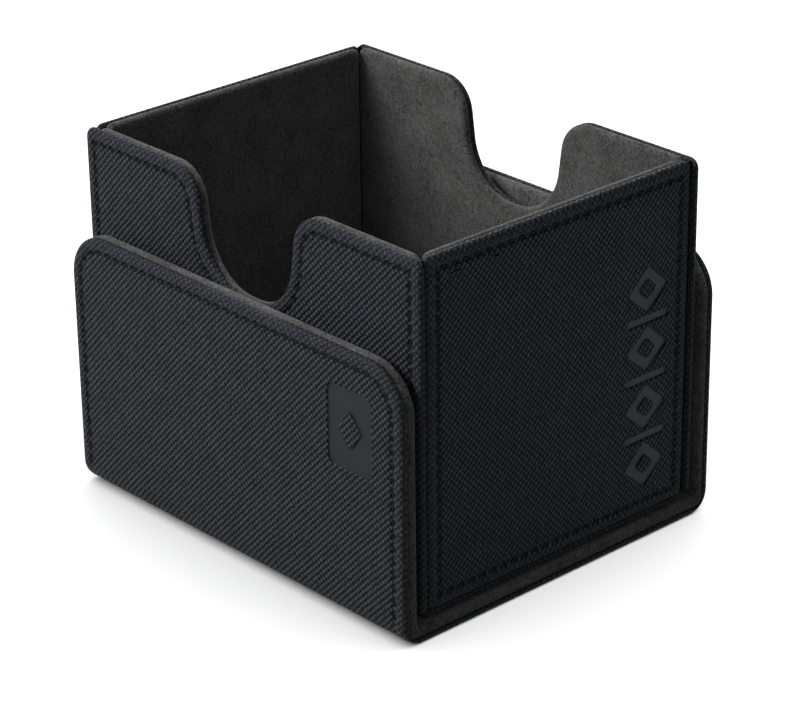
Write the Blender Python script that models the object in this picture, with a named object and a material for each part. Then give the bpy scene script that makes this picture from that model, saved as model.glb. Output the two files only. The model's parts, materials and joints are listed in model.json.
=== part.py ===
"""Card deck box: an open tray for a deck of sleeved cards, docked in its U-shaped lid.

Metres, +Z up. The origin is the middle of the lid's underside. +X runs along the long, notched walls
and -Y is the front. Each stiff panel is a board between a skin and a lining, whose rims are turned in
around the board and meet at a seam half way through the panel.
"""

import math

import bmesh
import bpy
from mathutils import Matrix, Vector

# Gaps between neighbouring pieces
GAP = 0.0003
LAYER_GAP = 0.00025

# Tray, outside sizes and heights
TRAY_LENGTH = 0.1030
TRAY_DEPTH = 0.0781
TRAY_TOP = 0.0818
WALL = 0.0033
WALL_BOTTOM = 0.0058
TOP_CORNER_R = 0.0023
FOOT_CORNER_R = 0.0016
END_RECESS = 0.0005
COVER_BOTTOM = 0.0042
COVER_INSET = 0.0012
FLOOR_BOARD_TOP = 0.0075
FLOOR_TOP = 0.0086

# Finger notch in each long wall
NOTCH_HALF_TOP = 0.0156
NOTCH_HALF_FOOT = 0.0122
NOTCH_FLOOR = 0.0578
NOTCH_FLARE_R = 0.0080
NOTCH_FOOT_R = 0.0130

# Lid
LID_LENGTH = 0.1036
LID_DEPTH = 0.0887
LID_PANEL = 0.0040
FLAP_TOP = 0.0602
FLAP_CORNER_R = 0.0105
FOLD_R = 0.0060

# Sheets
TRAY_SKIN = 0.0009
TRAY_LINING = 0.0007
LID_SKIN = 0.0008
LID_LINING = 0.0008
LID_SEAM = 0.00175
RIM_ROUND = 0.0006

# Stitching: one thread in a channel of the skin, along every edge but the bottom one
STITCH_INSET = 0.0030
THREAD_WIDTH = 0.0007
THREAD_DEPTH = 0.0003
CHANNEL_WIDTH = 0.0012
CHANNEL_DEPTH = 0.00055

# Magnets in the flaps and the steel plates that they hold to
FASTENER_X = 0.0350
MAGNET_R = 0.0050
MAGNET_THICKNESS = 0.0012
MAGNET_Z = 0.0520
KEEPER_WIDTH = 0.0120
KEEPER_THICKNESS = 0.0005
KEEPER_BOTTOM = 0.0280
KEEPER_TOP = 0.0580

ARC_STEPS = 8
SMALL_ARC_STEPS = 3
FOLD_STEPS = 12
MAGNET_SIDES = 32

# Where the flap turns, measured in from the outer corner of the fold along Y and Z. About this axis the
# skin of the fold keeps its length when the flap goes from standing to lying flat.
FOLD_PIVOT = FOLD_R * (1 - math.pi / 4)
# The long walls' outer halves cover the ends' outer halves, and so do the inner ones.
END_HALF_OUTER = TRAY_DEPTH / 2 - WALL / 2 - GAP
END_HALF_INNER = TRAY_DEPTH / 2 - WALL - GAP
END_FACE_X = TRAY_LENGTH / 2 - END_RECESS
LONG_HALF_INNER = END_FACE_X - WALL / 2 - GAP


def clear_scene():
    for obj in list(bpy.data.objects):
        bpy.data.objects.remove(obj, do_unlink=True)


def make_material(name, color, roughness, metallic=0.0):
    material = bpy.data.materials.new(name)
    material.use_nodes = True
    shader = material.node_tree.nodes["Principled BSDF"]
    shader.inputs["Base Color"].default_value = (*color, 1.0)
    shader.inputs["Roughness"].default_value = roughness
    shader.inputs["Metallic"].default_value = metallic
    return material


def inset_outline(corners, inset):
    """Points of a rounded polygon moved inwards. Corners are (x, z, radius, steps), anticlockwise."""
    places = [Vector((x, z)) for x, z, _, _ in corners]
    points = []
    for i, (_, _, radius, steps) in enumerate(corners):
        into = (places[i] - places[i - 1]).normalized()
        out = (places[(i + 1) % len(places)] - places[i]).normalized()
        normal_in = Vector((-into.y, into.x))
        normal_out = Vector((-out.y, out.x))
        turn = math.atan2(into.x * out.y - into.y * out.x, into.dot(out))
        side = math.copysign(1.0, turn)
        corner = places[i] + (normal_in + normal_out) * inset / (1 + normal_in.dot(normal_out))
        arc_r = radius - side * inset
        if arc_r <= 0:
            points.append(corner)
            continue
        start = corner - into * arc_r * math.tan(abs(turn) / 2)
        centre = start + normal_in * side * arc_r
        for step in range(steps + 1):
            points.append(centre + Matrix.Rotation(turn * step / steps, 2) @ (start - centre))
    return points


def loft(name, rings, material, parent, location=(0, 0, 0), turn=0.0):
    """A closed solid through rings of as many points each, capped at the first and the last."""
    mesh = bpy.data.meshes.new(name)
    shape = bmesh.new()
    loops = [[shape.verts.new(point) for point in ring] for ring in rings]
    for first, second in zip(loops, loops[1:]):
        for i in range(len(first)):
            shape.faces.new((first[i - 1], first[i], second[i], second[i - 1]))
    caps = [shape.faces.new(loops[0]), shape.faces.new(reversed(loops[-1]))]
    bmesh.ops.recalc_face_normals(shape, faces=shape.faces)
    bmesh.ops.triangulate(shape, faces=caps)
    shape.to_mesh(mesh)
    shape.free()
    mesh.materials.append(material)
    mesh.shade_smooth()
    mesh.set_sharp_from_angle(angle=math.radians(35))
    obj = bpy.data.objects.new(name, mesh)
    bpy.context.scene.collection.objects.link(obj)
    obj.parent = parent
    obj.location = location
    obj.rotation_euler = (0, 0, turn)
    return obj


def panel_rings(levels):
    """Rings for (corners, inset, depth) levels: depth is along +Y, inwards from the panel's face."""
    return [
        [(point.x, depth, point.y) for point in inset_outline(corners, inset)]
        for corners, inset, depth in levels
    ]


def wrapped_levels(corners, thickness, rim_depth):
    """A sheet with a rounded rim that is turned in around the board as far as rim_depth."""
    lean = RIM_ROUND * (1 - math.sin(math.pi / 4))
    profile = [
        (RIM_ROUND, 0.0),
        (lean, lean),
        (0.0, RIM_ROUND),
        (0.0, rim_depth),
        (thickness, rim_depth),
        (thickness, thickness),
    ]
    return [(corners, inset, depth) for inset, depth in profile]


def from_inside(levels, panel):
    """The same levels measured from the panel's inner face."""
    return [(corners, inset, panel - depth) for corners, inset, depth in levels]


def prism(name, outline, low, high, material, parent, location=(0, 0, 0), turn=0.0):
    """A flat outline in X and Z, made solid between two depths along Y."""
    rings = [[(point.x, depth, point.y) for point in outline] for depth in (low, high)]
    return loft(name, rings, material, parent, location, turn)


def box(name, centre_x, half_x, low_y, high_y, low_z, high_z, material, parent, location=(0, 0, 0), turn=0.0):
    outline = [
        Vector((centre_x - half_x, low_z)),
        Vector((centre_x + half_x, low_z)),
        Vector((centre_x + half_x, high_z)),
        Vector((centre_x - half_x, high_z)),
    ]
    return prism(name, outline, low_y, high_y, material, parent, location, turn)


def disc_outline(centre_x, centre_z, radius):
    return [
        Vector((centre_x, centre_z)) + Matrix.Rotation(math.tau * i / MAGNET_SIDES, 2) @ Vector((radius, 0))
        for i in range(MAGNET_SIDES)
    ]


def cut(obj, cutter):
    cutter.hide_render = True
    cutter.display_type = "WIRE"
    difference = obj.modifiers.new(cutter.name, "BOOLEAN")
    difference.operation = "DIFFERENCE"
    difference.object = cutter


def seam_band(corners, width, foot):
    """The outline of a band along every edge but the bottom one, ending at height foot."""
    sides = []
    for inset in (STITCH_INSET - width / 2, STITCH_INSET + width / 2):
        path = [point for point in inset_outline(corners, inset) if point.y > foot + inset]
        sides.append([Vector((path[0].x, foot)), *path, Vector((path[-1].x, foot))])
    return sides[0] + sides[1][::-1]


def stitch(prefix, skin, corners, foot, parent, location, turn):
    """Cuts the stitching channel in the skin and lays the thread in it."""
    channel = seam_band(corners, CHANNEL_WIDTH, foot - LAYER_GAP)
    cutter = prism(f"{prefix}_channel", channel, -GAP, CHANNEL_DEPTH, THREAD, parent, location, turn)
    cut(skin, cutter)
    band = seam_band(corners, THREAD_WIDTH, foot)
    prism(f"{prefix}_thread", band, 0.0, THREAD_DEPTH, THREAD, parent, location, turn)


def rectangle_corners(half_x, low_z, high_z, foot_r, top_r, top_steps=SMALL_ARC_STEPS):
    return [
        (-half_x, low_z, foot_r, SMALL_ARC_STEPS),
        (half_x, low_z, foot_r, SMALL_ARC_STEPS),
        (half_x, high_z, top_r, top_steps),
        (-half_x, high_z, top_r, top_steps),
    ]


def notched_corners(half_x):
    """A long wall's outline, with the flared finger notch in the middle of its top edge."""
    foot_left, foot_right, top_right, top_left = rectangle_corners(
        half_x, WALL_BOTTOM, TRAY_TOP, FOOT_CORNER_R, TOP_CORNER_R
    )
    notch = [
        (NOTCH_HALF_TOP, TRAY_TOP, NOTCH_FLARE_R, ARC_STEPS),
        (NOTCH_HALF_FOOT, NOTCH_FLOOR, NOTCH_FOOT_R, ARC_STEPS),
        (-NOTCH_HALF_FOOT, NOTCH_FLOOR, NOTCH_FOOT_R, ARC_STEPS),
        (-NOTCH_HALF_TOP, TRAY_TOP, NOTCH_FLARE_R, ARC_STEPS),
    ]
    return [foot_left, foot_right, top_right, *notch, top_left]


def stepped_board_levels(outer, inner):
    """A tray board: its outer half fills the skin and its inner half fills the lining."""
    front = TRAY_SKIN + LAYER_GAP
    back = TRAY_LINING + LAYER_GAP
    step = LAYER_GAP / 4
    return [
        (outer, front, front),
        (outer, front, WALL / 2 - step),
        (inner, back, WALL / 2 + step),
        (inner, back, WALL - back),
    ]


def tray_panel(prefix, outer, inner, parent, location, turn):
    """Skin, board, lining and thread of one tray wall. Returns the board."""
    place = {"parent": parent, "location": location, "turn": turn}
    rim = (WALL - LAYER_GAP) / 2
    skin = loft(f"{prefix}_skin", panel_rings(wrapped_levels(outer, TRAY_SKIN, rim)), SKIN, **place)
    board = loft(f"{prefix}_board", panel_rings(stepped_board_levels(outer, inner)), BOARD, **place)
    lining_levels = from_inside(wrapped_levels(inner, TRAY_LINING, rim), WALL)
    loft(f"{prefix}_lining", panel_rings(lining_levels), LINING, **place)
    stitch(prefix, skin, outer, WALL_BOTTOM + STITCH_INSET, parent, location, turn)
    return board


def build_long_wall(prefix, tray, turn):
    """A notched wall with a steel keeper plate near each end, let into the board from outside."""
    location = Matrix.Rotation(turn, 3, "Z") @ Vector((0, -TRAY_DEPTH / 2, 0))
    place = {"parent": tray, "location": location, "turn": turn}
    outer = notched_corners(TRAY_LENGTH / 2)
    inner = notched_corners(LONG_HALF_INNER)
    board = tray_panel(prefix, outer, inner, tray, location, turn)
    front = TRAY_SKIN + LAYER_GAP
    for side, name in ((-1, "left"), (1, "right")):
        middle = side * FASTENER_X
        half = KEEPER_WIDTH / 2
        keeper_front = front + LAYER_GAP / 2
        keeper_back = keeper_front + KEEPER_THICKNESS
        pocket = box(
            f"{prefix}_keeper_pocket_{name}",
            middle,
            half + LAYER_GAP,
            front - GAP,
            keeper_back + LAYER_GAP,
            KEEPER_BOTTOM - LAYER_GAP,
            KEEPER_TOP + LAYER_GAP,
            BOARD,
            **place,
        )
        cut(board, pocket)
        box(
            f"{prefix}_keeper_{name}",
            middle,
            half,
            keeper_front,
            keeper_back,
            KEEPER_BOTTOM,
            KEEPER_TOP,
            STEEL,
            **place,
        )


def build_end_wall(prefix, tray, turn):
    location = Matrix.Rotation(turn, 3, "Z") @ Vector((0, -END_FACE_X, 0))
    outer = rectangle_corners(END_HALF_OUTER, WALL_BOTTOM, TRAY_TOP, FOOT_CORNER_R, FOOT_CORNER_R)
    inner = rectangle_corners(END_HALF_INNER, WALL_BOTTOM, TRAY_TOP, FOOT_CORNER_R, FOOT_CORNER_R)
    tray_panel(prefix, outer, inner, tray, location, turn)


def slab(name, half_x, half_y, low, high, corner_r, material, parent):
    """A flat plate with rounded corners in plan."""
    corners = rectangle_corners(half_x, -half_y, half_y, corner_r, corner_r)
    rings = [[(point.x, point.y, z) for point in inset_outline(corners, 0.0)] for z in (low, high)]
    return loft(name, rings, material, parent)


def build_tray_floor(tray):
    """The skin-covered bottom, and the board and lining that lie between the walls."""
    cover_half_x = TRAY_LENGTH / 2 - COVER_INSET
    cover_half_y = TRAY_DEPTH / 2 - COVER_INSET
    low = COVER_BOTTOM
    high = WALL_BOTTOM - GAP
    slab("tray_bottom_cover", cover_half_x, cover_half_y, low, high, TOP_CORNER_R, SKIN, tray)
    half_x = END_FACE_X - WALL - GAP
    half_y = END_HALF_INNER
    slab("tray_floor_board", half_x, half_y, WALL_BOTTOM, FLOOR_BOARD_TOP, FOOT_CORNER_R, BOARD, tray)
    low = FLOOR_BOARD_TOP + GAP
    slab("tray_floor_lining", half_x, half_y, low, FLOOR_TOP, FOOT_CORNER_R, LINING, tray)


def lid_panel_levels(corners):
    """Levels of a lid panel's skin, board and lining, from its outer face."""
    seam_gap = LAYER_GAP / 2
    skin = wrapped_levels(corners, LID_SKIN, LID_SEAM - seam_gap)
    lining = from_inside(
        wrapped_levels(corners, LID_LINING, LID_PANEL - LID_SEAM - seam_gap), LID_PANEL
    )
    inset = LID_SKIN + LAYER_GAP
    board = [(corners, inset, inset), (corners, inset, LID_PANEL - LID_LINING - LAYER_GAP)]
    return skin, board, lining


def build_lid_base(lid):
    """The flat panel under the tray, which ends where the folds begin."""
    half_y = LID_DEPTH / 2 - FOLD_R - GAP
    corners = rectangle_corners(LID_LENGTH / 2, -half_y, half_y, FOOT_CORNER_R, FOOT_CORNER_R)
    names = (("skin", SKIN), ("board", BOARD), ("lining", LINING))
    for (layer, material), levels in zip(names, lid_panel_levels(corners)):
        rings = [
            [(point.x, point.y, depth) for point in inset_outline(outline, inset)]
            for outline, inset, depth in levels
        ]
        loft(f"lid_base_{layer}", rings, material, lid)


def build_fold(prefix, lid, turn):
    """The soft stretch of skin and lining between the base and a flap: two quarter rings."""
    centre_y = -LID_DEPTH / 2 + FOLD_R
    inside_r = FOLD_R - LID_PANEL
    sheets = (
        ("skin", FOLD_R - LID_SKIN, FOLD_R, SKIN),
        ("lining", inside_r, inside_r + LID_LINING, LINING),
    )
    for layer, low_r, high_r, material in sheets:
        angles = [math.pi + math.pi / 2 * i / FOLD_STEPS for i in range(FOLD_STEPS + 1)]
        arcs = [(high_r, angle) for angle in angles] + [(low_r, angle) for angle in reversed(angles)]
        rings = [
            [(x, centre_y + r * math.cos(angle), FOLD_R + r * math.sin(angle)) for r, angle in arcs]
            for x in (-LID_LENGTH / 2, LID_LENGTH / 2)
        ]
        loft(f"{prefix}_fold_{layer}", rings, material, lid, turn=turn)


def build_flap(prefix, lid, turn):
    """A stiff flap with two magnets, let into the board from the lining side."""
    to_world = Matrix.Rotation(turn, 3, "Z")
    hinge = bpy.data.objects.new(f"{prefix}_hinge", None)
    bpy.context.scene.collection.objects.link(hinge)
    hinge.parent = lid
    hinge.location = to_world @ Vector((0, -LID_DEPTH / 2 + FOLD_PIVOT, FOLD_PIVOT))
    place = {"parent": hinge, "location": to_world @ Vector((0, -FOLD_PIVOT, 0)), "turn": turn}
    place["location"].z = -FOLD_PIVOT
    corners = rectangle_corners(
        LID_LENGTH / 2, FOLD_R + GAP, FLAP_TOP, FOOT_CORNER_R, FLAP_CORNER_R, ARC_STEPS
    )
    skin_levels, board_levels, lining_levels = lid_panel_levels(corners)
    skin = loft(f"{prefix}_skin", panel_rings(skin_levels), SKIN, **place)
    board = loft(f"{prefix}_board", panel_rings(board_levels), BOARD, **place)
    loft(f"{prefix}_lining", panel_rings(lining_levels), LINING, **place)
    stitch(prefix, skin, corners, FOLD_R + STITCH_INSET, **place)
    board_back = LID_PANEL - LID_LINING - LAYER_GAP
    magnet_back = board_back - LAYER_GAP / 2
    magnet_front = magnet_back - MAGNET_THICKNESS
    for side, name in ((-1, "left"), (1, "right")):
        middle = side * FASTENER_X
        pocket_outline = disc_outline(middle, MAGNET_Z, MAGNET_R + LAYER_GAP)
        pocket_front = magnet_front - LAYER_GAP
        pocket_back = board_back + GAP
        pocket_name = f"{prefix}_magnet_pocket_{name}"
        cut(board, prism(pocket_name, pocket_outline, pocket_front, pocket_back, BOARD, **place))
        disc = disc_outline(middle, MAGNET_Z, MAGNET_R)
        prism(f"{prefix}_magnet_{name}", disc, magnet_front, magnet_back, MAGNET, **place)


def make_frame(name):
    frame = bpy.data.objects.new(name, None)
    bpy.context.scene.collection.objects.link(frame)
    return frame


clear_scene()
SKIN = make_material("leatherette", (0.024, 0.024, 0.027), 0.55)
LINING = make_material("microfibre", (0.125, 0.127, 0.135), 0.95)
BOARD = make_material("greyboard", (0.30, 0.27, 0.23), 0.90)
THREAD = make_material("thread", (0.008, 0.008, 0.009), 0.80)
STEEL = make_material("steel", (0.45, 0.46, 0.48), 0.40, 1.0)
MAGNET = make_material("magnet", (0.62, 0.62, 0.60), 0.25, 1.0)

lid_frame = make_frame("lid_frame")
tray_frame = make_frame("tray_frame")
build_lid_base(lid_frame)
for side_name, side_turn in (("front", 0.0), ("back", math.pi)):
    build_fold(side_name, lid_frame, side_turn)
    build_flap(f"{side_name}_flap", lid_frame, side_turn)
    build_long_wall(f"{side_name}_wall", tray_frame, side_turn)
build_end_wall("right_end", tray_frame, math.pi / 2)
build_end_wall("left_end", tray_frame, -math.pi / 2)
build_tray_floor(tray_frame)
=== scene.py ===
"""Looks of the card deck box: embossed leatherette covers, microfibre linings, stitching and folds.

Metres, in the CAD frame: +Z up, +X along the long notched walls, -Y the front. Each panel is drawn flat in
its own U (across), V (up) and W (depth, inwards from the outer face), and then placed on the box.
"""

import json
import math

import bmesh
import bpy
import numpy as np
from mathutils import Matrix, Vector, noise
from mathutils.geometry import tessellate_polygon


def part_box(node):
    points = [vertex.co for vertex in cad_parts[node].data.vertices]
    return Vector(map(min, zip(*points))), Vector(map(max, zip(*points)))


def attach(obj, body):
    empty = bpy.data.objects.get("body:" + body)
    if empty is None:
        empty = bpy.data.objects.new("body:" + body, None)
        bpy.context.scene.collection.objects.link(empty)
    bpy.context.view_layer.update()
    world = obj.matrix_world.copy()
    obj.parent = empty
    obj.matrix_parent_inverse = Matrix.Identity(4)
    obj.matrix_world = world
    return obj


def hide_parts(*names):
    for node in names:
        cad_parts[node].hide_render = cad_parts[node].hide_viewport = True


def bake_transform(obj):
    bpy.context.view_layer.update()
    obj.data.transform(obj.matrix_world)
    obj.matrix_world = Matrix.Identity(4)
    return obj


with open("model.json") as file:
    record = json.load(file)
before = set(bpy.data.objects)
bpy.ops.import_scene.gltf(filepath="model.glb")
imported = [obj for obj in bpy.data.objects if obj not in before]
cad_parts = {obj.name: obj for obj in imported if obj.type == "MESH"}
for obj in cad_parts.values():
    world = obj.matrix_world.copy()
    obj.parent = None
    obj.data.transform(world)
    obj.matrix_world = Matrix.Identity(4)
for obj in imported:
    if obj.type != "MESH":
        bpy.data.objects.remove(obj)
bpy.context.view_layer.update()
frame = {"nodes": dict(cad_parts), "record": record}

MM = 0.001

# Camera, solved from the box's own edges
CAMERA_AT = Vector((0.4364, -0.3960, 0.3041))
CAMERA_AZIMUTH = math.radians(47.66)
CAMERA_ELEVATION = math.radians(24.64)
CAMERA_ROLL = math.radians(-0.72)
LENS = 138.4

# Panel sizes, read from the frame
WALL_LOW, WALL_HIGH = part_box("front_wall_skin")
WALL_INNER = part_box("front_wall_lining")
END_LOW, END_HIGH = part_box("right_end_skin")
END_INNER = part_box("right_end_lining")
FLAP_LOW, FLAP_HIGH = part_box("front_flap_skin")
FOLD_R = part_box("front_fold_skin")[1].z
WALL = WALL_INNER[1].y - WALL_LOW.y
LID_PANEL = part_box("lid_base_lining")[1].z
LID_HALF = -FLAP_LOW.y
FLAP_TOP = FLAP_HIGH.z

# Finger notch, as in the CAD
NOTCH_HALF_TOP = 15.6 * MM
NOTCH_HALF_FOOT = 12.2 * MM
NOTCH_FLOOR = 57.8 * MM
NOTCH_FLARE_R = 8.0 * MM
NOTCH_FOOT_R = 13.0 * MM
TOP_CORNER_R = 2.3 * MM
FOOT_CORNER_R = 1.6 * MM
FLAP_CORNER_R = 10.5 * MM

# Sheets and seams
SHEET = 0.85 * MM
LINING_SHEET = 0.62 * MM
TRAY_SEAM = 1.50 * MM
LID_SEAM = 1.62 * MM
SEAM_GAP = 0.10 * MM
END_CLEARANCE = 0.15 * MM
SKIN_ROUND = 0.95 * MM
LINING_ROUND = 1.05 * MM
# How round the lid's corner is at its outer face, at the seam and at its inner face
FOLD_ROUNDS = ((0.0, 5.75 * MM), (LID_SEAM, 1.6 * MM), (LID_PANEL, 0.45 * MM))

# Stitching
STITCH_INSET = 3.0 * MM
STITCH_PITCH = 3.0 * MM
VALLEY = 0.20 * MM
TROUGH = 0.42 * MM
THREAD_R = 0.29 * MM
THREAD_SPAN = 0.62
THREAD_SIDES = 6
THREAD_SECTIONS = 8
SAMPLE = 0.5 * MM
# How far a lining's surface wanders in depth
RUFFLE = 0.05 * MM
CORNER_LEAST_R = 0.12 * MM

# Pressed ornament
PRESS_DEPTH = 0.30 * MM
# How a pressed edge goes down: (towards the middle, depth)
PRESS_EDGE = (
    (-0.22 * MM, 0.0),
    (-0.12 * MM, 0.0),
    (-0.04 * MM, 0.04 * MM),
    (0.02 * MM, 0.13 * MM),
    (0.06 * MM, 0.22 * MM),
    (0.13 * MM, 0.28 * MM),
    (0.24 * MM, PRESS_DEPTH),
    (0.34 * MM, PRESS_DEPTH),
)
PLAQUE_CENTRE = (36.6 * MM, 43.2 * MM)
PLAQUE_HALF = (6.4 * MM, 8.9 * MM)
PLAQUE_DIAMOND = (3.4 * MM, 4.6 * MM)
COLUMN_V = (10.5 * MM, 63.5 * MM)
COLUMN_U = 25.0 * MM
COLUMN_COUNT = 4
DIAMOND_HALF = (6.0 * MM, 5.2 * MM)
ISLAND_HALF = (2.7 * MM, 2.3 * MM)
BAR_HALF = (6.0 * MM, 0.85 * MM)


# ---------------------------------------------------------------- outlines


def offset_path(corners, inset):
    """Points round a rounded polygon moved inwards by inset, and as many points whatever the inset.

    Corners are (u, v, radius, arc steps, edge steps, moves), anticlockwise. An edge runs from its corner to
    the next one, and it stays in place if moves is 0.
    """
    count = len(corners)
    places = [Vector(corner[:2]) for corner in corners]
    ways = [(places[(i + 1) % count] - places[i]).normalized() for i in range(count)]
    arcs = []
    for i in range(count):
        radius, arc_steps = corners[i][2:4]
        into, out = ways[i - 1], ways[i]
        turn = math.atan2(into.x * out.y - into.y * out.x, into.dot(out))
        side = math.copysign(1.0, turn)
        normals = Matrix(((-into.y, into.x), (-out.y, out.x)))
        shifts = Vector((inset * corners[i - 1][5], inset * corners[i][5]))
        corner = places[i] + normals.inverted() @ shifts
        if radius == 0:
            arcs.append([corner])
            continue
        arc_r = max(radius - side * inset, CORNER_LEAST_R)
        start = corner - into * arc_r * math.tan(abs(turn) / 2)
        centre = start + Vector((-into.y, into.x)) * side * arc_r
        spins = [Matrix.Rotation(turn * k / arc_steps, 2) for k in range(arc_steps + 1)]
        arcs.append([centre + spin @ (start - centre) for spin in spins])
    points = []
    for i, arc in enumerate(arcs):
        points.extend(arc)
        edge_steps = corners[i][4]
        first, last = arc[-1], arcs[(i + 1) % count][0]
        points.extend(first.lerp(last, k / edge_steps) for k in range(1, edge_steps))
    return np.array([point[:] for point in points])


def edge_steps(length):
    return max(2, round(length / SAMPLE))


def plain_corners(half, low, high, foot_r, top_r, foot_moves=1):
    """A panel's outline from its bottom right corner. foot_moves is 0 where the bottom edge runs on."""
    side = edge_steps(high - low)
    across = edge_steps(2 * half)
    arc = max(6, round(top_r * math.pi / 2 / SAMPLE))
    return [
        (half, low, foot_r, 4, side, 1),
        (half, high, top_r, arc, across, 1),
        (-half, high, top_r, arc, side, 1),
        (-half, low, foot_r, 4, across, foot_moves),
    ]


def notched_corners(half, low, high):
    """A long wall's outline, with the flared finger notch in its top edge."""
    foot_right, top_right, top_left, foot_left = plain_corners(half, low, high, FOOT_CORNER_R, TOP_CORNER_R)
    rail = edge_steps(half - NOTCH_HALF_TOP - NOTCH_FLARE_R)
    depth = edge_steps(high - NOTCH_FLOOR - NOTCH_FLARE_R - NOTCH_FOOT_R)
    flare = round(NOTCH_FLARE_R * 1.45 / SAMPLE)
    foot = round(NOTCH_FOOT_R * 1.45 / SAMPLE)
    return [
        foot_right,
        top_right[:4] + (rail, 1),
        (NOTCH_HALF_TOP, high, NOTCH_FLARE_R, flare, depth, 1),
        (NOTCH_HALF_FOOT, NOTCH_FLOOR, NOTCH_FOOT_R, foot, 3, 1),
        (-NOTCH_HALF_FOOT, NOTCH_FLOOR, NOTCH_FOOT_R, foot, depth, 1),
        (-NOTCH_HALF_TOP, high, NOTCH_FLARE_R, flare, rail, 1),
        top_left,
        foot_left,
    ]


# ---------------------------------------------------------------- seams


class Seam:
    """The stitched line of a panel: every edge but the bottom one, from foot upwards."""

    def __init__(self, corners, foot):
        self.path = offset_path(corners, STITCH_INSET)
        steps = np.linalg.norm(np.diff(self.path, axis=0), axis=1)
        along = np.concatenate(([0.0], np.cumsum(steps)))
        inside = np.flatnonzero(self.path[:, 1] > foot)
        first, last = inside[0], inside[-1]
        self.start = along[first]
        self.length = along[last] - along[first]
        self.count = round(self.length / STITCH_PITCH)
        self.pitch = self.length / self.count
        self.along = along - self.start

    def dip(self):
        """How far each point of the path is pulled in: a valley, deeper under each stitch."""
        phase = -np.cos(2 * np.pi * self.along / self.pitch)
        depth = VALLEY + TROUGH * np.clip(phase + 0.3, 0, 1)
        margin = self.pitch / 2
        fade = np.clip((self.along + margin) / margin, 0, 1)
        fade = fade * np.clip((self.length + margin - self.along) / margin, 0, 1)
        return depth * fade

    def at(self, distance):
        u = np.interp(distance, self.along, self.path[:, 0])
        v = np.interp(distance, self.along, self.path[:, 1])
        return np.array((u, v))


# ---------------------------------------------------------------- placing


def turned(turn, face):
    """Places U, V, W on an upright panel whose outer face is that far from the middle of the box."""
    cos, sin = round(math.cos(turn)), round(math.sin(turn))

    def place(points, depth):
        y = depth - face
        return np.column_stack((points[:, 0] * cos - y * sin, points[:, 0] * sin + y * cos, points[:, 1]))

    return place


def level(height):
    """Places a panel that lies face down at that height."""

    def place(points, depth):
        return np.column_stack((points[:, 0], -points[:, 1], height + depth))

    return place


FLAP_RUN = FLAP_TOP - FOLD_R
FOLD_RUN = FOLD_R * math.pi / 2
BASE_RUN = LID_HALF - FOLD_R


def fold_radius(depth):
    depths, radii = zip(*FOLD_ROUNDS)
    return np.interp(depth, depths, radii)


def folded(turn):
    """Places half of the lid. V runs up from the middle of the base, round the fold and up the flap."""
    sign = math.copysign(1.0, math.cos(turn))

    def place(points, depth):
        u, v = points[:, 0], points[:, 1]
        depth = np.broadcast_to(depth, u.shape)
        round_r = fold_radius(depth)
        flat = FOLD_R - depth - round_r
        arc = round_r * math.pi / 2
        along = np.clip((v - BASE_RUN) / FOLD_RUN, 0, 1) * (2 * flat + arc)
        angle = np.clip((along - flat) / round_r, 0, math.pi / 2)
        out = np.clip(along, 0, flat) + round_r * np.sin(angle)
        up = round_r * (1 - np.cos(angle)) + np.clip(along - flat - arc, 0, flat)
        y = np.clip(v, None, BASE_RUN) + out
        z = depth + up + np.clip(v - BASE_RUN - FOLD_RUN, 0, None)
        return np.column_stack((sign * u, -sign * y, z))

    return place


# ---------------------------------------------------------------- meshes


def new_piece(name, vertices, faces, cloth, materials, groove=None):
    """A mesh object. cloth is each vertex's place on the flat sheet, and how far it is from the rim."""
    mesh = bpy.data.meshes.new(name)
    mesh.from_pydata(vertices.tolist(), [], faces)
    corner_vertices = np.empty(len(mesh.loops), dtype=np.int64)
    mesh.loops.foreach_get("vertex_index", corner_vertices)
    layer = mesh.attributes.new("cloth", "FLOAT_VECTOR", "CORNER")
    layer.data.foreach_set("vector", cloth[corner_vertices].astype(np.float32).ravel())
    if groove is not None:
        depth = mesh.attributes.new("groove", "FLOAT", "CORNER")
        depth.data.foreach_set("value", groove[corner_vertices].astype(np.float32))
    for material in materials:
        mesh.materials.append(material)
    mesh.validate()
    mesh.shade_smooth()
    mesh.set_sharp_from_angle(angle=math.radians(50))
    piece = bpy.data.objects.new(name, mesh)
    bpy.context.scene.collection.objects.link(piece)
    return piece


def ring_faces(low, high, count):
    """Quads between two rings whose first vertices are low and high."""
    return [
        (low + i, low + (i + 1) % count, high + (i + 1) % count, high + i)
        for i in range(count)
    ]


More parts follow.
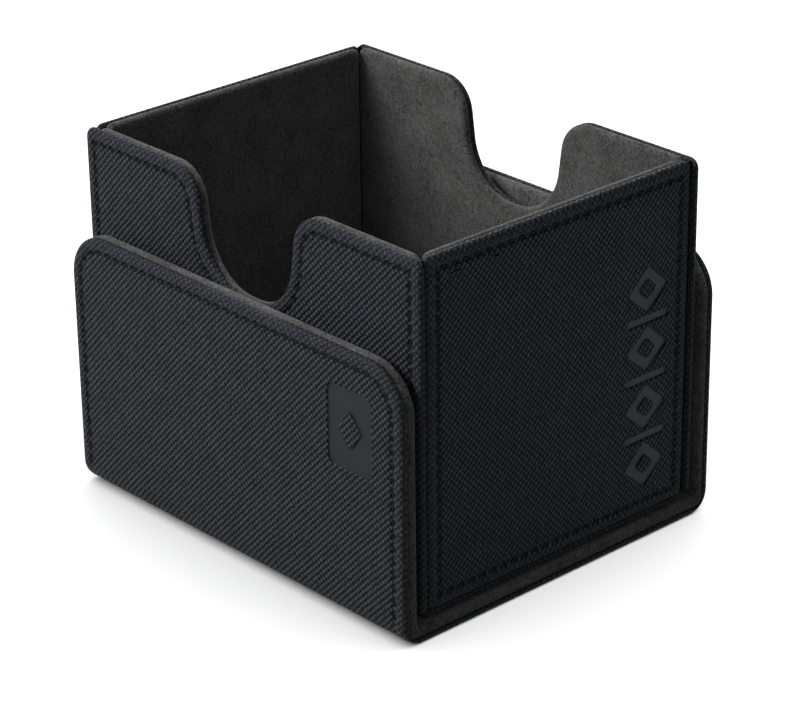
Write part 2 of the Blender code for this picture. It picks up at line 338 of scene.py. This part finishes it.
class Sheet:
    """The vertices and faces of one sheet, with each vertex's place on the sheet when it lies flat."""

    def __init__(self, place):
        self.place = place
        self.vertices, self.cloth, self.grooves = [], [], []
        self.faces, self.finishes = [], []
        self.count = 0

    def ring(self, points, depths, flat, from_rim, groove=0.0):
        """Adds vertices, and tells the number of the first one. groove is how far each is down the seam; it
        sets how much painted shade darkens the cover's colour there.
        """
        first = self.count
        self.count += len(points)
        self.vertices.append(self.place(points, depths))
        self.cloth.append(np.column_stack((flat, np.full(len(flat), from_rim))))
        self.grooves.append(np.broadcast_to(groove, len(flat)))
        return first

    def fill(self, faces, finish=0):
        self.faces.extend(faces)
        self.finishes.extend([finish] * len(faces))

    def bands(self, firsts, count, finish=0):
        """Joins rings of as many vertices."""
        for low, high in zip(firsts, firsts[1:]):
            self.fill(ring_faces(low, high, count), finish)

    def flat_face(self, outlines, finish=0):
        """A flat face inside the first outline and outside the others, each (points, first vertex)."""
        loops, numbers = [], []
        for points, vertices in outlines:
            loops.append([Vector((u, v, 0.0)) for u, v in points])
            numbers.extend(vertices)
        triangles = tessellate_polygon(loops)
        self.fill([tuple(numbers[i] for i in triangle) for triangle in triangles], finish)

    def press(self, shape, island):
        """A smooth floor pressed into the sheet, with any raised island. Gives its outline."""
        outline, floor = self.pressed_edge(shape, PRESS_EDGE)
        if not island:
            self.fill([floor[1]], 1)
            return outline
        raised = [(-inset, depth) for inset, depth in PRESS_EDGE[::-1]]
        around, top = self.pressed_edge(island, raised)
        self.flat_face([floor, around], 1)
        self.fill([top[1]])
        return outline

    def pressed_edge(self, shape, edge):
        firsts = []
        for inset, depth in edge:
            points = offset_path(shape, inset)
            firsts.append(self.ring(points, np.full(len(points), depth), points, 6 * MM))
        count = len(points)
        half = len(edge) // 2
        downwards = edge[0][1] < edge[-1][1]
        self.bands(firsts[: half + 1], count, 0 if downwards else 1)
        self.bands(firsts[half:], count, 1 if downwards else 0)
        first, last = (
            (offset_path(shape, edge[k][0]), list(range(firsts[k], firsts[k] + count))) for k in (0, -1)
        )
        return first, last

    def piece(self, name, materials):
        vertices, cloth, groove = np.vstack(self.vertices), np.vstack(self.cloth), np.hstack(self.grooves)
        piece = new_piece(name, vertices, self.faces, cloth, materials, groove)
        piece.data.polygons.foreach_set("material_index", self.finishes)
        make_outward(piece)
        return piece


def cap(sheet, points, first, corners, presses=()):
    """Closes a ring flat, round its pressed shapes. A ring that runs on down a fold gets rungs there."""
    count = len(points)
    ring = list(range(first, first + count))
    outer = ring
    across = corners[-1][4]
    if corners[-1][5] == 0:
        heights = points[: corners[0][4] + 1, 1]
        low = int(np.flatnonzero(heights < BASE_RUN)[-1])
        high = int(np.flatnonzero(heights > BASE_RUN + FOLD_RUN)[0])
        sheet.fill([ring[count - across - low :] + ring[: low + 1]])
        for i in range(low, high):
            left = count - across - i
            sheet.fill([(ring[i], ring[i + 1], ring[left - 1], ring[left])])
        outer = ring[high : count - across - high + 1]
    if presses:
        holes = [sheet.press(shape, island) for shape, island in presses]
        sheet.flat_face([(points[[i - first for i in outer]], outer), *holes])
    else:
        sheet.fill([outer])


def shell(name, corners, profile, place, materials, dips=None, flip_depth=None, ruffle=0.0, presses=()):
    """A closed sheet with a turned-in rim.

    Its profile's rings are (inset, depth, place on the sheet, dip).
    """
    sheet = Sheet(place)
    firsts = []
    for inset, depth, developed, dip in profile:
        points = offset_path(corners, inset)
        depths = np.full(len(points), depth)
        groove = 0.0
        if dips is not None:
            depths = depths + dip * dips
            groove = dip * dips / (VALLEY + TROUGH)
        if ruffle:
            for i, (u, v) in enumerate(points):
                depths[i] += ruffle * noise.noise(Vector((u, v, depth)) / (1.3 * MM))
        if flip_depth is not None:
            depths = flip_depth - depths
        firsts.append(sheet.ring(points, depths, offset_path(corners, developed), developed, groove))
    sheet.bands(firsts, len(points))
    cap(sheet, offset_path(corners, profile[0][0]), firsts[0], corners, presses)
    cap(sheet, points, firsts[-1], corners)
    return sheet.piece(name, materials)


def make_outward(piece):
    mesh = bmesh.new()
    mesh.from_mesh(piece.data)
    bmesh.ops.recalc_face_normals(mesh, faces=mesh.faces)
    mesh.to_mesh(piece.data)
    mesh.free()


def skin_profile(seam):
    """From the middle of the face to the rim, over it, in at the seam, and back along the inside."""
    rings = [
        (4.8 * MM, 0.0, 4.8 * MM, 0.0),
        (4.1 * MM, 0.0, 4.1 * MM, 0.0),
        (3.7 * MM, 0.0, 3.7 * MM, 0.12),
        (3.4 * MM, 0.0, 3.4 * MM, 0.55),
        (3.2 * MM, 0.0, 3.2 * MM, 0.95),
        (2.8 * MM, 0.0, 2.8 * MM, 0.95),
        (2.6 * MM, 0.0, 2.6 * MM, 0.55),
        (2.3 * MM, -0.02 * MM, 2.3 * MM, 0.12),
        (1.9 * MM, -0.05 * MM, 1.9 * MM, 0.0),
        (1.4 * MM, -0.06 * MM, 1.4 * MM, 0.0),
    ]
    arc_steps = 6
    for k in range(arc_steps + 1):
        angle = math.pi / 2 * k / arc_steps
        inset = SKIN_ROUND * (1 - math.sin(angle))
        depth = SKIN_ROUND * (1 - math.cos(angle))
        rings.append((inset, depth, SKIN_ROUND * (1 - angle), 0.0))
    turned_in = SKIN_ROUND * (1 - math.pi / 2)
    foot = seam - SEAM_GAP / 2
    rings += [
        (0.05 * MM, foot - 0.30 * MM, turned_in - 0.2 * MM, 0.0),
        (0.17 * MM, foot - 0.12 * MM, turned_in - 0.4 * MM, 0.0),
        (0.36 * MM, foot - 0.02 * MM, turned_in - 0.6 * MM, 0.0),
        (0.60 * MM, foot + SEAM_GAP, turned_in - 0.8 * MM, 0.0),
        (SHEET, foot + SEAM_GAP, turned_in - 1.1 * MM, 0.0),
        (SHEET, SHEET, turned_in - 1.6 * MM, 0.0),
    ]
    return rings


def lining_profile(room):
    """The same for a lining, from its own face. room is its depth from there to the seam."""
    rings = [
        (3.4 * MM, 0.0, 3.4 * MM, 0.0),
        (2.6 * MM, 0.0, 2.6 * MM, 0.0),
        (1.9 * MM, -0.01 * MM, 1.9 * MM, 0.0),
        (1.4 * MM, -0.02 * MM, 1.4 * MM, 0.0),
    ]
    arc_steps = 6
    for k in range(arc_steps + 1):
        angle = math.pi / 2 * k / arc_steps
        inset = LINING_ROUND * (1 - math.sin(angle))
        depth = LINING_ROUND * (1 - math.cos(angle))
        rings.append((inset, depth, LINING_ROUND * (1 - angle), 0.0))
    turned_in = LINING_ROUND * (1 - math.pi / 2)
    foot = room - SEAM_GAP / 2
    rings += [
        (0.00 * MM, foot - 0.62 * MM, turned_in, 0.0),
        (0.06 * MM, foot - 0.40 * MM, turned_in - 0.2 * MM, 0.0),
        (0.18 * MM, foot - 0.20 * MM, turned_in - 0.4 * MM, 0.0),
        (0.38 * MM, foot - 0.05 * MM, turned_in - 0.7 * MM, 0.0),
        (LINING_SHEET, foot, turned_in - 1.0 * MM, 0.0),
        (LINING_SHEET, LINING_SHEET, turned_in - 1.5 * MM, 0.0),
    ]
    return rings


def stitches(name, seam, place, material):
    """One short bent thread in each trough of the seam, all in one piece."""
    vertices, faces = [], []
    for number in range(seam.count):
        begin = number * seam.pitch
        first = len(vertices)
        for section in range(THREAD_SECTIONS):
            t = section / (THREAD_SECTIONS - 1)
            distance = begin + seam.pitch * (0.5 + THREAD_SPAN * (t - 0.5))
            here = seam.at(distance)
            ahead = seam.at(distance + 0.2 * MM) - seam.at(distance - 0.2 * MM)
            ahead = ahead / max(np.linalg.norm(ahead), 1e-9)
            side = np.array((-ahead[1], ahead[0]))
            slant = 0.13 * MM * (2 * t - 1)
            rise = math.sin(math.pi * t) ** 0.6
            depth = VALLEY + 0.8 * TROUGH + THREAD_R * (1.0 - 1.3 * rise)
            thick = THREAD_R * (0.72 + 0.28 * rise)
            for k in range(THREAD_SIDES):
                angle = math.tau * k / THREAD_SIDES
                flat = here + side * (slant + thick * math.cos(angle))
                vertices.append((flat, depth + thick * math.sin(angle)))
        for section in range(THREAD_SECTIONS - 1):
            low = first + section * THREAD_SIDES
            faces.extend(ring_faces(low, low + THREAD_SIDES, THREAD_SIDES))
        faces.append([first + k for k in range(THREAD_SIDES)][::-1])
        last = first + (THREAD_SECTIONS - 1) * THREAD_SIDES
        faces.append([last + k for k in range(THREAD_SIDES)])
    flat = np.array([vertex[0] for vertex in vertices])
    depth = np.array([vertex[1] for vertex in vertices])
    cloth = np.column_stack((flat, depth))
    piece = new_piece(name, place(flat, depth), faces, cloth, [material])
    make_outward(piece)
    return piece


# ---------------------------------------------------------------- pressed ornament


def rounded_box(centre, half, radius):
    u, v = centre
    signs = ((1, -1), (1, 1), (-1, 1), (-1, -1))
    return plain_shape([(u + a * half[0], v + b * half[1]) for a, b in signs], radius)


def diamond(centre, half_u, half_v, radius):
    u, v = centre
    return plain_shape([(u, v - half_v), (u + half_u, v), (u, v + half_v), (u - half_u, v)], radius)


def plain_shape(points, radius):
    """Corners of a closed shape, for offset_path, all rounded alike."""
    return [(u, v, radius, 5, 1, 1) for u, v in points]


# ---------------------------------------------------------------- materials


class Nodes:
    """Short names for making a material's nodes."""

    def __init__(self, name):
        self.material = bpy.data.materials.new(name)
        self.material.use_nodes = True
        self.tree = self.material.node_tree
        self.shader = self.tree.nodes["Principled BSDF"]

    def node(self, kind, **settings):
        made = self.tree.nodes.new(kind)
        for key, value in settings.items():
            setattr(made, key, value)
        return made

    def link(self, source, target):
        self.tree.links.new(source, target)

    def math(self, operation, first, second=None, clamp=False):
        made = self.node("ShaderNodeMath", operation=operation, use_clamp=clamp)
        for socket, value in zip(made.inputs, (first, second)):
            if value is None:
                continue
            if isinstance(value, (int, float)):
                socket.default_value = value
            else:
                self.link(value, socket)
        return made.outputs[0]

    def cloth(self):
        """The place on the flat sheet: U, V and the distance from the rim."""
        attribute = self.node("ShaderNodeAttribute", attribute_name="cloth")
        return attribute.outputs["Vector"]

    def parts(self, vector):
        split = self.node("ShaderNodeSeparateXYZ")
        self.link(vector, split.inputs[0])
        return split.outputs

    def noise(self, vector, scale, detail=2.0, roughness=0.5, distortion=0.0):
        made = self.node("ShaderNodeTexNoise")
        if vector is not None:
            self.link(vector, made.inputs["Vector"])
        made.inputs["Scale"].default_value = scale
        made.inputs["Detail"].default_value = detail
        made.inputs["Roughness"].default_value = roughness
        made.inputs["Distortion"].default_value = distortion
        return made.outputs["Fac"]

    def place(self):
        return self.node("ShaderNodeTexCoord").outputs["Object"]

    def ramp(self, factor, low, high, start=0.0, end=1.0):
        """A colour or grey that goes from low to high as the factor goes from start to end."""
        made = self.node("ShaderNodeValToRGB")
        first, last = made.color_ramp.elements
        first.position, last.position = start, end
        first.color, last.color = (*low, 1.0), (*high, 1.0)
        self.link(factor, made.inputs[0])
        return made.outputs["Color"]

    def span(self, factor, low, high):
        made = self.node("ShaderNodeMapRange")
        self.link(factor, made.inputs["Value"])
        made.inputs["To Min"].default_value = low
        made.inputs["To Max"].default_value = high
        return made.outputs["Result"]

    def mix(self, factor, first, second):
        made = self.node("ShaderNodeMix", data_type="RGBA")
        self.link(factor, made.inputs["Factor"])
        self.link(first, made.inputs["A"])
        self.link(second, made.inputs["B"])
        return made.outputs["Result"]

    def bump(self, height, distance, strength=1.0, under=None):
        made = self.node("ShaderNodeBump")
        made.inputs["Strength"].default_value = strength
        made.inputs["Distance"].default_value = distance
        self.link(height, made.inputs["Height"])
        if under is not None:
            self.link(under, made.inputs["Normal"])
        return made.outputs["Normal"]

    def set(self, **values):
        for name, value in values.items():
            socket = self.shader.inputs[name.replace("_", " ")]
            if isinstance(value, (int, float, tuple)):
                socket.default_value = value
            else:
                self.link(value, socket)


# The weave's two diagonal rows, in cycles per metre along U and V
WEAVE_ROWS = ((-670.0, 660.0), (680.0, 640.0))
# Ends of the woven cover's colour ramp; the dark end also serves as painted shade in the weave's hollows,
# the seam valley and the corner strips.
SKIN_DARK = (0.0010, 0.0012, 0.0018)
SKIN_LIGHT = (0.0550, 0.0600, 0.0715)
SKIN_SPECULAR_TINT = (0.84, 0.90, 1.0, 1.0)
PRESSED = (0.0066, 0.0074, 0.0089)


def weave_height(nodes, cloth, loose):
    """Rows of short raised dashes, which wander a little, and more so in the turned-over rim."""
    wander = nodes.math("MULTIPLY", nodes.noise(cloth, 60.0, 1.0), 0.4)
    wander = nodes.math("ADD", wander, nodes.math("MULTIPLY", nodes.noise(cloth, 1300.0, 1.0), 0.40))
    ruck = nodes.math("MULTIPLY", nodes.math("MULTIPLY", nodes.noise(cloth, 700.0, 1.0), loose), 0.7)
    wander = nodes.math("ADD", wander, ruck)
    u, v, _ = nodes.parts(cloth)
    ridges = []
    for along_u, along_v in WEAVE_ROWS:
        turns = nodes.math("ADD", nodes.math("MULTIPLY", u, along_u), nodes.math("MULTIPLY", v, along_v))
        turns = nodes.math("ADD", turns, wander)
        wave = nodes.math("COSINE", nodes.math("MULTIPLY", turns, math.tau))
        ridges.append(nodes.math("ADD", nodes.math("MULTIPLY", wave, 0.5), 0.5))
    rows = nodes.math("POWER", ridges[0], 0.70)
    dashes = nodes.math("ADD", nodes.math("MULTIPLY", nodes.math("POWER", ridges[1], 0.6), 0.84), 0.16)
    return nodes.math("MULTIPLY", rows, dashes)


def leatherette():
    nodes = Nodes("leatherette_woven")
    cloth = nodes.cloth()
    rim = nodes.parts(cloth)[2]
    loose = nodes.math("SUBTRACT", 3.6, nodes.math("MULTIPLY", rim, 1 / (0.8 * MM)), clamp=True)
    height = weave_height(nodes, cloth, loose)
    crumple = nodes.noise(cloth, 1900.0, 3.0, 0.65)
    loosened = nodes.math("MULTIPLY", loose, 0.28)
    rougher = nodes.math("MULTIPLY", nodes.math("SUBTRACT", crumple, height), loosened)
    height = nodes.math("ADD", height, rougher)
    patches = nodes.noise(cloth, 320.0, 3.0, 0.6)
    grain = nodes.noise(cloth, 2500.0, 2.0, 0.75)
    # Painted shade and highlight: the colour follows the weave's relief, darker in its low parts and
    # lighter on the raised dashes; the patches and grain are the leatherette's own random tone.
    tone = nodes.math("MULTIPLY", height, nodes.span(patches, 0.55, 1.30))
    tone = nodes.math("ADD", tone, nodes.math("SUBTRACT", grain, 0.5), clamp=True)
    # Painted shade: the cover's colour is darkened down the stitched seam's valley, by how deep each point
    # sits in it (the groove attribute).
    groove = nodes.node("ShaderNodeAttribute", attribute_name="groove").outputs["Fac"]
    painted_seam_shade = nodes.math("MULTIPLY", nodes.math("POWER", groove, 1.3), 1.35)
    tone = nodes.math("MULTIPLY", tone, nodes.math("SUBTRACT", 1.0, painted_seam_shade, clamp=True))
    worn = nodes.math("SUBTRACT", 1.0, nodes.math("MULTIPLY", rim, 1 / (1.1 * MM)), clamp=True)
    worn = nodes.math("MULTIPLY", worn, 0.30)
    base = nodes.ramp(tone, SKIN_DARK, SKIN_LIGHT)
    edge = nodes.ramp(grain, (0.008, 0.009, 0.011), (0.040, 0.043, 0.049), 0.3, 0.75)
    nodes.set(
        Base_Color=nodes.mix(worn, base, edge),
        Roughness=nodes.span(tone, 0.66, 0.44),
        Specular_IOR_Level=0.05,
        Specular_Tint=SKIN_SPECULAR_TINT,
        Normal=nodes.bump(height, 0.26 * MM, 1.0, nodes.bump(grain, 0.07 * MM, 0.8)),
    )
    return nodes.material


def pressed_leatherette():
    nodes = Nodes("leatherette_pressed")
    cloth = nodes.cloth()
    grain = nodes.noise(cloth, 2600.0, 3.0, 0.6)
    patches = nodes.noise(cloth, 260.0, 2.0)
    low = tuple(0.86 * value for value in PRESSED)
    high = tuple(1.12 * value for value in PRESSED)
    nodes.set(
        Base_Color=nodes.ramp(patches, low, high, 0.3, 0.7),
        Roughness=nodes.span(grain, 0.34, 0.44),
        Specular_IOR_Level=0.12,
        Specular_Tint=SKIN_SPECULAR_TINT,
        Normal=nodes.bump(grain, 0.02 * MM, 0.5),
    )
    return nodes.material


def microfibre():
    """Short nap: soft mottling, fine fibres and a pale sheen at grazing light."""
    nodes = Nodes("microfibre_napped")
    place = nodes.place()
    fibres = nodes.noise(place, 2600.0, 3.0, 0.85, 0.5)
    nap = nodes.noise(place, 900.0, 3.0, 0.65, 0.4)
    brushed = nodes.noise(place, 130.0, 2.0, 0.5)
    tone = nodes.math("ADD", nodes.math("MULTIPLY", fibres, 0.62), nodes.math("MULTIPLY", nap, 0.25))
    tone = nodes.math("ADD", tone, nodes.math("MULTIPLY", brushed, 0.13))
    nodes.set(
        Base_Color=nodes.ramp(tone, (0.0020, 0.0020, 0.0020), (0.118, 0.119, 0.117), 0.40, 0.64),
        Roughness=nodes.span(nap, 0.90, 1.0),
        Specular_IOR_Level=0.12,
        Sheen_Weight=0.22,
        Sheen_Roughness=0.45,
        Sheen_Tint=(0.72, 0.72, 0.70, 1.0),
        Normal=nodes.bump(fibres, 0.30 * MM, 1.0, nodes.bump(nap, 0.25 * MM, 0.8)),
    )
    return nodes.material


def thread_material():
    nodes = Nodes("thread_twisted")
    cloth = nodes.cloth()
    twist = nodes.node("ShaderNodeTexWave", wave_type="BANDS", bands_direction="DIAGONAL")
    nodes.link(cloth, twist.inputs["Vector"])
    twist.inputs["Scale"].default_value = 900.0
    twist.inputs["Distortion"].default_value = 1.5
    nodes.set(
        Base_Color=nodes.ramp(twist.outputs["Fac"], (0.0007, 0.0008, 0.0010), (0.0042, 0.0045, 0.0054)),
        Roughness=nodes.span(twist.outputs["Fac"], 0.75, 0.55),
        Specular_IOR_Level=0.12,
        Normal=nodes.bump(twist.outputs["Fac"], 0.05 * MM, 0.8),
    )
    return nodes.material


def greyboard():
    nodes = Nodes("greyboard_fibrous")
    place = nodes.place()
    fibres = nodes.noise(place, 1500.0, 4.0, 0.7, 1.2)
    specks = nodes.noise(place, 5000.0, 1.0)
    colour = nodes.ramp(fibres, (0.20, 0.185, 0.16), (0.36, 0.335, 0.29), 0.3, 0.7)
    dark = nodes.ramp(specks, (0.08, 0.07, 0.06), (0.30, 0.28, 0.25), 0.28, 0.4)
    nodes.set(
        Base_Color=nodes.mix(nodes.math("GREATER_THAN", specks, 0.36), dark, colour),
        Roughness=nodes.span(fibres, 0.85, 0.97),
        Normal=nodes.bump(fibres, 0.06 * MM, 0.6),
    )
    return nodes.material


def plated(name, colour, roughness):
    """Bright metal with fine brushing and a few dull patches."""
    nodes = Nodes(name)
    place = nodes.place()
    scratches = nodes.node("ShaderNodeMapping")
    nodes.link(place, scratches.inputs["Vector"])
    scratches.inputs["Scale"].default_value = (1.0, 1.0, 0.04)
    brushing = nodes.noise(scratches.outputs["Vector"], 9000.0, 2.0)
    patches = nodes.noise(place, 260.0, 3.0)
    low = tuple(0.82 * value for value in colour)
    nodes.set(
        Base_Color=nodes.ramp(patches, low, colour, 0.3, 0.7),
        Metallic=1.0,
        Roughness=nodes.span(patches, roughness, roughness + 0.15),
        Normal=nodes.bump(brushing, 0.01 * MM, 0.4),
    )
    return nodes.material


def floor_material():
    nodes = Nodes("pale_floor")
    place = nodes.place()
    nodes.set(
        Base_Color=nodes.ramp(nodes.noise(place, 12.0, 2.0), (0.78, 0.78, 0.78), (0.80, 0.80, 0.80)),
        Roughness=0.85,
        Specular_IOR_Level=0.15,
    )
    return nodes.material


# ---------------------------------------------------------------- the box


def make_camera():
    azimuth, elevation, roll = CAMERA_AZIMUTH, CAMERA_ELEVATION, CAMERA_ROLL
    back = Vector(
        (
            math.sin(azimuth) * math.cos(elevation),
            -math.cos(azimuth) * math.cos(elevation),
            math.sin(elevation),
        )
    )
    right = Vector((math.cos(azimuth), math.sin(azimuth), 0.0))
    up = back.cross(right)
    across = right * math.cos(roll) + up * math.sin(roll)
    upward = up * math.cos(roll) - right * math.sin(roll)
    data = bpy.data.cameras.new("camera")
    data.sensor_width = 36.0
    data.lens = LENS
    data.clip_start = 0.05
    data.clip_end = 20.0
    camera = bpy.data.objects.new("camera", data)
    bpy.context.scene.collection.objects.link(camera)
    turn = Matrix((across, upward, back)).transposed().to_4x4()
    camera.matrix_world = Matrix.Translation(CAMERA_AT) @ turn
    bpy.context.scene.camera = camera


def make_floor():
    reach = 4.0
    mesh = bpy.data.meshes.new("floor")
    corners = [(-reach, -reach, 0), (reach, -reach, 0), (reach, reach, 0), (-reach, reach, 0)]
    mesh.from_pydata(corners, [], [(0, 1, 2, 3)])
    mesh.materials.append(floor_material())
    floor = bpy.data.objects.new("floor", mesh)
    bpy.context.scene.collection.objects.link(floor)
    floor.visible_diffuse = False
    return floor


def area_light(name, place, size, power, lit):
    data = bpy.data.lights.new(name, "AREA")
    data.shape = "RECTANGLE"
    data.size, data.size_y = size
    data.energy = power
    light = bpy.data.objects.new(name, data)
    bpy.context.scene.collection.objects.link(light)
    light.location = place
    towards = Vector((0.0, 0.0, 0.04)) - Vector(place)
    light.rotation_mode = "QUATERNION"
    light.rotation_quaternion = towards.to_track_quat("-Z", "Y")
    light.light_linking.receiver_collection = lit


def lit_group(name, floor, state):
    """A list for a light's receivers: it lights the floor alone, or everything but the floor."""
    group = bpy.data.collections.new(name)
    group.objects.link(floor)
    group.collection_objects[0].light_linking.link_state = state
    return group


def make_lights(floor):
    """Soft light from the front left and from above, and a wash for the floor alone that keeps it white."""
    box = lit_group("all_but_floor", floor, "EXCLUDE")
    area_light("key", (-0.55, -1.10, 0.85), (0.7, 0.7), 30.0, box)
    area_light("top", (-0.12, 0.12, 1.30), (0.8, 0.8), 11.0, box)
    area_light("fill", (1.10, -0.75, 0.75), (0.6, 0.6), 2.4, box)
    area_light("back", (-0.95, 1.10, 0.70), (0.7, 0.7), 16.0, box)
    wash_data = bpy.data.lights.new("floor_wash", "SUN")
    wash_data.energy = 5.8
    wash_data.angle = math.radians(130)
    wash = bpy.data.objects.new("floor_wash", wash_data)
    bpy.context.scene.collection.objects.link(wash)
    wash.light_linking.receiver_collection = lit_group("floor_only", floor, "INCLUDE")
    world = bpy.data.worlds.new("studio")
    world.use_nodes = True
    background = world.node_tree.nodes["Background"]
    background.inputs["Color"].default_value = (1.0, 1.0, 1.0, 1.0)
    background.inputs["Strength"].default_value = 0.08
    bpy.context.scene.world = world
    bpy.context.scene.view_settings.view_transform = "Standard"


def dress_cad_nodes(finishes):
    """The CAD nodes that stay get the finish of their slot."""
    slots = {entry["node"]: entry["material_slot"] for entry in frame["record"]["subparts"]}
    for name, node in frame["nodes"].items():
        finish = finishes[slots[name]]
        for index in range(len(node.material_slots)):
            node.material_slots[index].material = finish


def panel(prefix, outer, inner, turn, face, seam_foot, presses=()):
    """Cover, lining and stitches of an upright tray panel."""
    place = turned(turn, face)
    seam = Seam(outer, seam_foot)
    cover = shell(
        f"{prefix}_cover",
        outer,
        skin_profile(TRAY_SEAM),
        place,
        [WOVEN, SMOOTH],
        seam.dip(),
        presses=presses,
    )
    lining = shell(
        f"{prefix}_liner",
        inner,
        lining_profile(WALL - TRAY_SEAM),
        place,
        [NAP],
        flip_depth=WALL,
        ruffle=RUFFLE,
    )
    row = stitches(f"{prefix}_stitches", seam, place, THREAD)
    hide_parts(f"{prefix}_skin")
    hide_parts(f"{prefix}_lining")
    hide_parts(f"{prefix}_thread")
    for piece in (cover, lining, row):
        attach(piece, "tray")


def make_long_wall(prefix, turn):
    low, high = WALL_LOW.z, WALL_HIGH.z
    outer = notched_corners(WALL_HIGH.x, low, high)
    inner = notched_corners(WALL_INNER[1].x, low, high)
    panel(prefix, outer, inner, turn, -WALL_LOW.y, low + 2 * MM)


def make_end(prefix, turn, presses):
    low, high = END_LOW.z, END_HIGH.z
    outer = plain_corners(END_HIGH.y - END_CLEARANCE, low, high, FOOT_CORNER_R, FOOT_CORNER_R)
    inner = plain_corners(END_INNER[1].y, low, high, FOOT_CORNER_R, FOOT_CORNER_R)
    panel(prefix, outer, inner, turn, END_HIGH.x, low + 2 * MM, presses)


def pressed_column():
    """A pressed column: open diamonds, with a short bar between each two."""
    presses = []
    low, high = COLUMN_V
    step = (high - low) / COLUMN_COUNT
    for i in range(COLUMN_COUNT):
        centre = (COLUMN_U, low + step * (i + 0.5))
        presses.append((diamond(centre, *DIAMOND_HALF, 0.9 * MM), diamond(centre, *ISLAND_HALF, 0.7 * MM)))
        if i:
            presses.append((rounded_box((COLUMN_U, low + step * i), BAR_HALF, 0.6 * MM), None))
    return presses


def make_lid_half(side, turn):
    """Half of the base, a fold and a flap, as one cover and one lining, each shaped round the fold."""
    flap = f"{side}_flap"
    place = folded(turn)
    length = BASE_RUN + FOLD_RUN + FLAP_RUN
    corners = plain_corners(FLAP_HIGH.x, 0.0, length, 0.0, FLAP_CORNER_R, foot_moves=0)
    seam = Seam(corners, BASE_RUN + FOLD_RUN * 0.9)
    cover = shell(
        f"{flap}_cover",
        corners,
        skin_profile(LID_SEAM),
        place,
        [WOVEN, SMOOTH],
        seam.dip(),
        presses=pressed_plaque(length - FLAP_TOP) if side == "front" else (),
    )
    lining = shell(
        f"{flap}_liner",
        corners,
        lining_profile(LID_PANEL - LID_SEAM),
        place,
        [NAP],
        flip_depth=LID_PANEL,
        ruffle=RUFFLE,
    )
    row = stitches(f"{flap}_stitches", seam, place, THREAD)
    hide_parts(f"{flap}_skin", f"{side}_fold_skin", "lid_base_skin")
    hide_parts(f"{flap}_lining", f"{side}_fold_lining", "lid_base_lining")
    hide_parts(f"{flap}_thread")
    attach(row, flap)
    bend(cover)
    bend(lining)


def bend(piece):
    """Bakes the piece's placement into its mesh."""
    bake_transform(piece)


def pressed_plaque(lift):
    """A pressed blank card with a raised woven diamond in it. lift is how much V is more than Z."""
    centre = (PLAQUE_CENTRE[0], PLAQUE_CENTRE[1] + lift)
    return [(rounded_box(centre, PLAQUE_HALF, 2.0 * MM), diamond(centre, *PLAQUE_DIAMOND, 0.9 * MM))]


def make_bottom_cover():
    low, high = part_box("tray_bottom_cover")
    corners = plain_corners(high.x, low.y, high.y, TOP_CORNER_R, TOP_CORNER_R)
    thickness = high.z - low.z
    rings = [
        (2.0 * MM, 0.0, 2.0 * MM, 0.0),
        (0.5 * MM, 0.0, 0.5 * MM, 0.0),
        (0.15 * MM, 0.12 * MM, 0.2 * MM, 0.0),
        (0.0, 0.45 * MM, -0.2 * MM, 0.0),
        (0.0, thickness, -0.9 * MM, 0.0),
    ]
    cover = shell("tray_underside", corners, rings, level(low.z), [WOVEN])
    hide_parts("tray_bottom_cover")
    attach(cover, "tray")


def upright(points, height):
    return np.column_stack((points, np.broadcast_to(height, len(points))))


def make_corner_strips():
    """The covers' edges, tucked in round the ends of the long walls' boards, beside the end panels,
    coloured at the weave's darkest tone as painted shade of the groove there.
    """
    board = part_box("back_wall_board")[1]
    low, high = WALL_LOW.z + 0.4 * MM, WALL_HIGH.z - 0.5 * MM
    levels = (
        (0.14, low),
        (0.0, low + 0.2 * MM),
        (0.0, high - 0.3 * MM),
        (0.05, high - 0.1 * MM),
        (0.14, high),
    )
    half = (0.32 * MM, 0.42 * MM)
    strips = Sheet(upright)
    for side in (-1, 1):
        for end in (-1, 1):
            centre = (end * (board.x - 0.26 * MM), side * (END_HIGH.y + 0.24 * MM))
            outline = rounded_box(centre, half, 0.2 * MM)
            firsts = []
            for inset, height in levels:
                points = offset_path(outline, inset * MM)
                flat = np.column_stack((points.sum(axis=1), np.full(len(points), height)))
                # groove 1.0 makes the strips fully dark: painted shade in the groove between wall and end
                # panel.
                firsts.append(strips.ring(points, height, flat, 1.5 * MM, 1.0))
            strips.bands(firsts, len(points))
            strips.fill([range(firsts[0], firsts[0] + len(points))])
            strips.fill([range(firsts[-1], firsts[-1] + len(points))])
    piece = strips.piece("corner_strips", [WOVEN])
    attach(piece, "tray")


make_camera()
WOVEN = leatherette()
SMOOTH = pressed_leatherette()
NAP = microfibre()
THREAD = thread_material()
dress_cad_nodes(
    {
        "leatherette": WOVEN,
        "microfibre": NAP,
        "greyboard": greyboard(),
        "thread": THREAD,
        "steel": plated("steel_sheet", (0.50, 0.51, 0.53), 0.34),
        "magnet": plated("magnet_nickel", (0.66, 0.65, 0.62), 0.20),
    }
)
make_lights(make_floor())
for side_name, side_turn in (("front", 0.0), ("back", math.pi)):
    make_lid_half(side_name, side_turn)
    make_long_wall(f"{side_name}_wall", side_turn)
make_end("right_end", math.pi / 2, pressed_column())
make_end("left_end", -math.pi / 2, ())
make_bottom_cover()
make_corner_strips()
